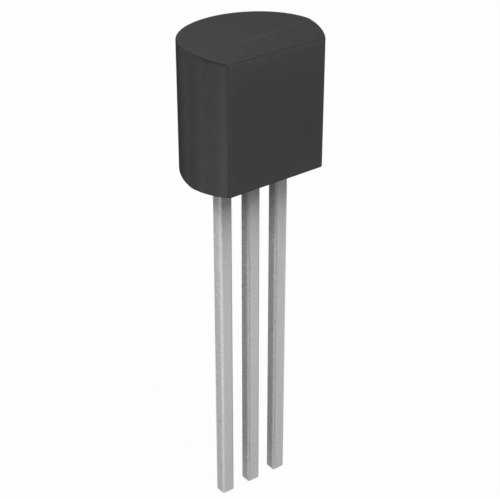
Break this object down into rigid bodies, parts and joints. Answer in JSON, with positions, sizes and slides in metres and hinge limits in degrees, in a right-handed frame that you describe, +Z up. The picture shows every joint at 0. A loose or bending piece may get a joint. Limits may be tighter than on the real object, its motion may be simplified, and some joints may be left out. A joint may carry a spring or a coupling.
{
  "type": "voltage reference chip",
  "caption": "Through-hole voltage reference in a small D-shaped moulded plastic package, with straight rectangular leads in a row below a drafted body with a flat front.",
  "frame": {"origin": "where the centre lead's axis leaves the underside of the body, in the plane of the leads, at the body's lowest line", "axes": "+Z up along the leads away from the board, -Y out of the flat front face, +X to the right seen from the flat face"},
  "size_m": [0.0052, 0.0042, 0.0195],
  "materials": {
    "moulding_compound": "fine matte epoxy moulding compound",
    "tin_plate": "satin tin plate on a copper-alloy lead",
    "silicon": "polished silicon",
    "attach_resin": "silver-filled resin",
    "gold_wire": "drawn gold"
  },
  "bodies": {
    "root": {"body": "moulding_compound", "lead_left": "tin_plate", "lead_centre": "tin_plate", "lead_right": "tin_plate", "die": "silicon", "die_attach": "attach_resin", "bond_wire_left": "gold_wire", "bond_wire_right": "gold_wire"}
  },
  "joints": []
}
